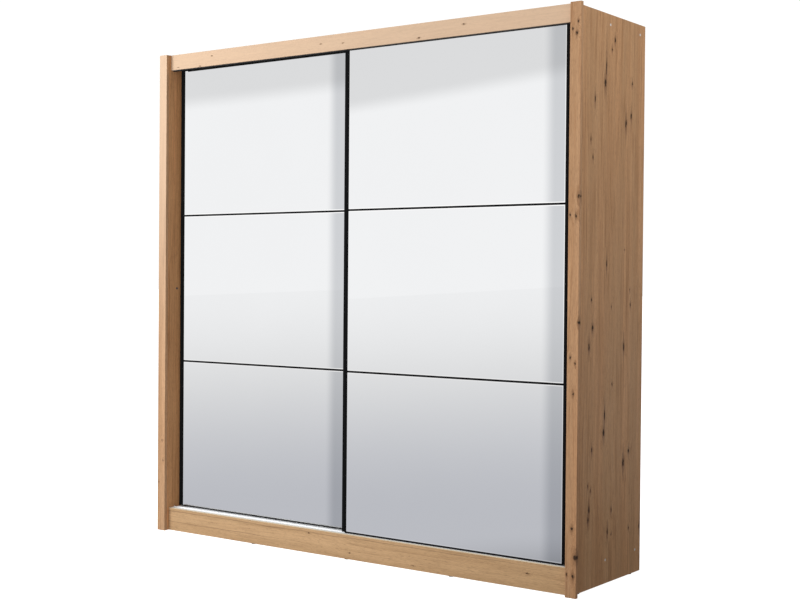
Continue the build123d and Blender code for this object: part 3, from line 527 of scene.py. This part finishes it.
# ---------------------------------------------------------------- detail pieces
BRISTLE_PITCH = 0.0006
BRISTLE_WIDTH = 0.0005
BRISTLE_DEPTH = 0.0009
BRISTLE_TIP = 0.6               # of the bristle's width
BRISTLE_TIP_DEPTH = (0.0007, 0.0003)
BRISTLE_LEAN = 0.0003
BRISTLE_UNEVEN = 0.0005
HOLDER_HEIGHT = 0.0011
HOLDER_CHAMFER = 0.0003
FIN_THICKNESS = 0.0003
FIN_SHORT = 0.0005
BRUSH_DEPTH = 0.0024
BRUSH_END_GAP = 0.0005
# How far the brushes hang; as black strips they also stand in for the shade under the fascia and the rails.
FASCIA_BRUSH_DROP = 0.0046
FASCIA_BRUSH_INSET = 0.0004     # from the fascia's rear face
DOOR_BRUSH_DROP = {"left": 0.0022, "right": 0.0046}
DOOR_BRUSH_INSET = 0.0001       # from the rail's front face


def prism(vertices, faces, lower, upper):
    """Adds a four-sided prism between two rectangles, each given as (x0, x1, y0, y1, z)."""
    first = len(vertices)
    for x0, x1, y0, y1, z in (lower, upper):
        vertices += [(x0, y0, z), (x1, y0, z), (x1, y1, z), (x0, y1, z)]
    ring = [(i, (i + 1) % 4, 4 + (i + 1) % 4, 4 + i) for i in range(4)]
    faces += [[first + i for i in face] for face in [(3, 2, 1, 0), (4, 5, 6, 7)] + ring]


def dust_brush(name, body, x_range, y_range, z_range):
    """A strip brush that hangs down: a chamfered holder, a thin fin and a row of tapered bristles."""
    draw = random.Random(name)
    vertices, faces = [], []
    (x0, x1), (y0, y1), (z0, z1) = x_range, y_range, z_range
    neck = z1 - HOLDER_HEIGHT
    c = HOLDER_CHAMFER
    prism(vertices, faces, (x0 + c, x1 - c, y0 + c, y1 - c, neck), (x0, x1, y0, y1, neck + c))
    prism(vertices, faces, (x0, x1, y0, y1, neck + c), (x0, x1, y0, y1, z1))
    middle = (y0 + y1) / 2
    fin = (x0 + c, x1 - c, middle, middle + FIN_THICKNESS)
    prism(vertices, faces, (*fin, z0 + FIN_SHORT), (*fin, neck))
    half = BRISTLE_WIDTH / 2
    tip_half = half * BRISTLE_TIP
    tip_y = [middle - depth for depth in BRISTLE_TIP_DEPTH]
    for i in range(int((x1 - x0 - 2 * BRISTLE_PITCH) / BRISTLE_PITCH)):
        root = x0 + BRISTLE_PITCH * (i + 1)
        tip = root + draw.uniform(-BRISTLE_LEAN, BRISTLE_LEAN)
        end = z0 + draw.uniform(0.0, BRISTLE_UNEVEN)
        prism(vertices, faces, (tip - tip_half, tip + tip_half, *tip_y, end),
              (root - half, root + half, middle - BRISTLE_DEPTH, middle, neck))
    mesh = bpy.data.meshes.new(name)
    mesh.from_pydata(vertices, [], faces)
    mesh.materials.append(nodes["right_brush_seals"].data.materials[0])
    brush = bpy.data.objects.new(name, mesh)
    bpy.context.scene.collection.objects.link(brush)
    brush.visible_glossy = False
    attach(brush, body)


def add_brushes():
    """Black strip brushes under the fascia and under both doors' rails: seals that also stand in for the
    shade in these gaps. The front door's reaches lower.
    """
    low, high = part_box("top_fascia")
    rear = high.y - FASCIA_BRUSH_INSET
    dust_brush("fascia_dust_brush", "carcass", (low.x + BRUSH_END_GAP, high.x - BRUSH_END_GAP),
               (rear - BRUSH_DEPTH, rear), (low.z - FASCIA_BRUSH_DROP, low.z))
    for side, drop in DOOR_BRUSH_DROP.items():
        low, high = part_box(side + "_bottom_rail")
        front = low.y + DOOR_BRUSH_INSET
        door = side + "_door"
        dust_brush(door + "_dust_brush", door, (low.x + BRUSH_END_GAP, high.x - BRUSH_END_GAP),
                   (front, front + BRUSH_DEPTH), (low.z - drop, low.z))


# Ending of the nodes' names, and the width of their bevel.
BEVELS = (("_mirror", 0.0006), ("_divider_strips", 0.0003), ("_rail", 0.0003),
          ("_handle_profile", 0.0002), ("_track", 0.0002), ("_door_board", 0.0005),
          ("_brackets", 0.0003), ("_roller", 0.0004), ("_carriers", 0.0005))
BEVEL_ANGLE = math.radians(50)  # edges that bend less stay as they are


def soften_edges():
    """Small bevels on the cut, extruded and moulded pieces, so that their edges catch the light."""
    for name, node in nodes.items():
        for ending, width in BEVELS:
            if name.endswith(ending) and name != "hanging_rail":
                bevel = node.modifiers.new("edges", "BEVEL")
                bevel.width = width
                bevel.segments = 2
                bevel.limit_method = "ANGLE"
                bevel.angle_limit = BEVEL_ANGLE


# ---------------------------------------------------------------- studio
SKY_LOW = 1.03
SKY_HIGH = 0.83
SKY_STEP = (math.sin(math.radians(7.6)), math.sin(math.radians(8.4)))
SKY_SHADY = 0.30
KEY_SIDE = Vector((-0.6, -0.8, 0))
KEY_STEP = (-0.35, 0.45)
BACKDROP = 1.05
FLOOR_SIZE = 90.0
FLOOR_NEAR = 0.575
FLOOR_FAR = 1.0
FLOOR_FALL = 5.3                # metres: the longer, the slower the floor brightens with distance
FLOOR_PAINT = (0.9, 0.9, 0.9, 1)
FLOOR_GLOW = 0.85
FLOOR_TINT = {"G": 1.015, "B": 1.08}
FLOOR_SHADE = 0.27
SHADE_CENTRE = Vector((2.0, 0.3, 0))
SHADE_RADII = (0.6, 2.3)
# Name, place, point it shines at, width and height, watts, colour.
LIGHTS = (
    ("key_front_left", (-3.0, -3.4, 2.6), (-0.9, -0.3, 1.3), (1.6, 2.2), 136, (0.95, 1.0, 1.06)),
    ("top_right", (2.3, -0.2, 3.1), (1.05, 0.0, 1.6), (1.0, 1.4), 13, (0.94, 1.0, 1.12)),
)
# The doors reflect only the studio, not the boards and fasteners round them.
HIDDEN_FROM_MIRRORS = ("front_trim_left", "side_panel_left", "top_fascia", "front_plinth", "trim_dowels",
                       "carcass_screws", "screw_caps", "small_screws", "angle_brackets", "end_buffers")


def make_world():
    """White behind the object. In light and reflections: a bright wall in front on the left, and a dim room
    on the right."""
    world = bpy.data.worlds.new("studio")
    world.use_nodes = True
    t = Tree(world.node_tree)
    way = t.add("TexCoord", {}, "Generated")
    lit = t.span(t.vector("DOT_PRODUCT", way, KEY_SIDE), *KEY_STEP, SKY_SHADY, 1.0)
    level = t.span(t.split(way, "Z"), *SKY_STEP, SKY_LOW, SKY_HIGH)
    seen = t.add("LightPath", {}, "Is Camera Ray")
    strength = t.math("MAXIMUM", t.math("MULTIPLY", lit, level), t.math("MULTIPLY", seen, BACKDROP))
    background = world.node_tree.nodes["Background"]
    background.inputs["Color"].default_value = (1, 1, 1, 1)
    t.set(background.inputs["Strength"], strength)
    bpy.context.scene.world = world


def floor_material():
    """Plain white to the camera. Light and reflections see a glowing floor with painted shade: bright far in
    front,
     greyer and bluer close by, and darker beside the right panel."""
    material = bpy.data.materials.new("floor")
    material.use_nodes = True
    t = Tree(material.node_tree)
    t.tree.nodes.remove(t.tree.nodes["Principled BSDF"])
    place = t.add("TexCoord", {}, "Object")
    nearness = t.math("DIVIDE", 1.0, t.math("ADD", t.vector("LENGTH", place), FLOOR_FALL))
    # Painted shade in the glow: darker near the wardrobe and beside the right panel.
    shade = t.span(t.vector("DISTANCE", place, SHADE_CENTRE), *SHADE_RADII, FLOOR_SHADE, 1.0)
    glow = t.math("MULTIPLY", t.span(nearness, 0.0, 0.15, FLOOR_FAR, FLOOR_NEAR), shade)
    green, blue = [t.math("MULTIPLY", glow, t.span(nearness, 0.05, 0.15, 1.0, FLOOR_TINT[channel]))
                   for channel in "GB"]
    lit = t.add("Emission", {"Color": t.join(glow, green, blue), "Strength": 1.0})
    plain = t.add("AddShader", {0: t.add("BsdfDiffuse", {"Color": FLOOR_PAINT}),
                                1: t.add("Emission", {"Color": (1, 1, 1, 1), "Strength": FLOOR_GLOW})})
    seen = t.add("LightPath", {}, "Is Camera Ray")
    surface = t.add("MixShader", {0: seen, 1: lit, 2: plain})
    t.set(t.tree.nodes["Material Output"].inputs["Surface"], surface)
    return material


def make_floor():
    mesh = bpy.data.meshes.new("floor")
    size = FLOOR_SIZE
    corners = [(-size, -size, 0), (size, -size, 0), (size, size, 0), (-size, size, 0)]
    mesh.from_pydata(corners, [], [(0, 1, 2, 3)])
    mesh.materials.append(floor_material())
    floor = bpy.data.objects.new("floor", mesh)
    bpy.context.scene.collection.objects.link(floor)


def area_light(name, place, target, size, power, colour):
    data = bpy.data.lights.new(name, "AREA")
    data.shape = "RECTANGLE"
    data.size, data.size_y = size
    data.energy = power
    data.color = colour
    light = bpy.data.objects.new(name, data)
    light.location = place
    light.rotation_euler = (Vector(target) - Vector(place)).to_track_quat("-Z", "Y").to_euler()
    light.visible_glossy = False
    bpy.context.scene.collection.objects.link(light)


def make_studio():
    make_world()
    make_floor()
    for light in LIGHTS:
        area_light(*light)
    for name in HIDDEN_FROM_MIRRORS:
        nodes[name].visible_glossy = False
    scene = bpy.context.scene
    scene.view_settings.view_transform = "Standard"
    scene.view_settings.look = "None"


# ---------------------------------------------------------------- build
make_camera()
dress()
soften_edges()
add_brushes()
make_studio()
